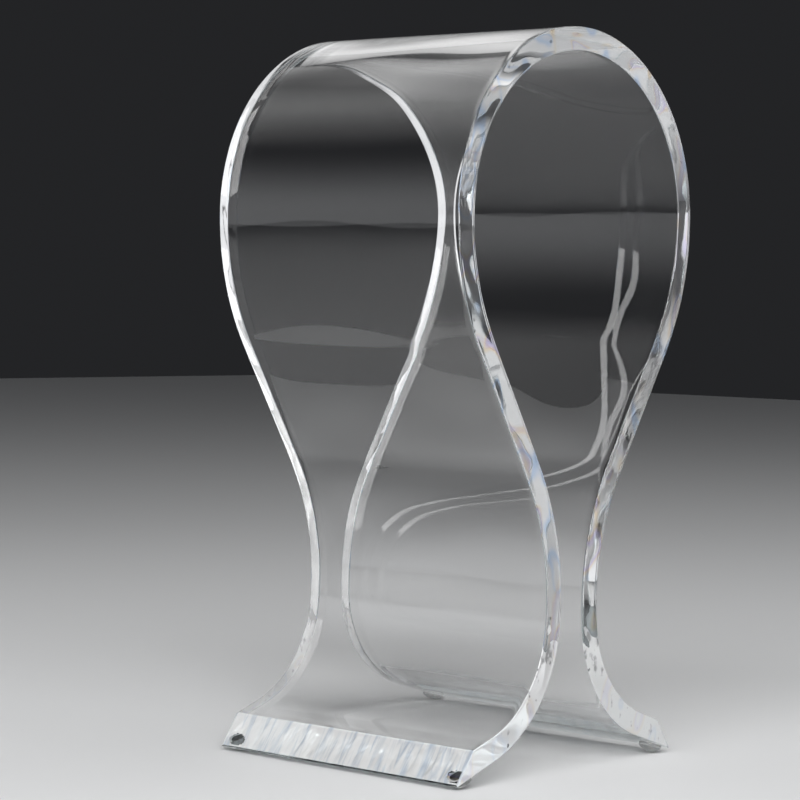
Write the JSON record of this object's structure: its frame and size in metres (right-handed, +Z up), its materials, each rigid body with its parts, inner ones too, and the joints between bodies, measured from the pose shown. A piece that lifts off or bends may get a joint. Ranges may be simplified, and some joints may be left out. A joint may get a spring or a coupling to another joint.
{
  "type": "headphone stand",
  "caption": "Free-standing headphone stand: a clear sheet bent into an open omega whose round crown carries a headband, on domed bumpers.",
  "frame": {"origin": "on the floor, under the middle of the stand", "axes": "+Z up, +X across the omega profile from the left foot to the right foot, +Y along the bends, from the front edge to the rear edge"},
  "size_m": [0.126, 0.108, 0.25],
  "materials": {
    "clear_acrylic": "colourless cast acrylic, glossy faces, saw-cut and flame-polished edges",
    "clear_polyurethane": "soft clear polyurethane, glossy dome",
    "clear_adhesive": "thin acrylic pressure-sensitive adhesive, grey where it has wetted the sheet"
  },
  "bodies": {
    "root": {"omega_frame": "clear_acrylic", "front_left_bumper": "clear_polyurethane", "front_right_bumper": "clear_polyurethane", "rear_left_bumper": "clear_polyurethane", "rear_right_bumper": "clear_polyurethane", "front_left_adhesive": "clear_adhesive", "front_right_adhesive": "clear_adhesive", "rear_left_adhesive": "clear_adhesive", "rear_right_adhesive": "clear_adhesive"}
  },
  "joints": []
}
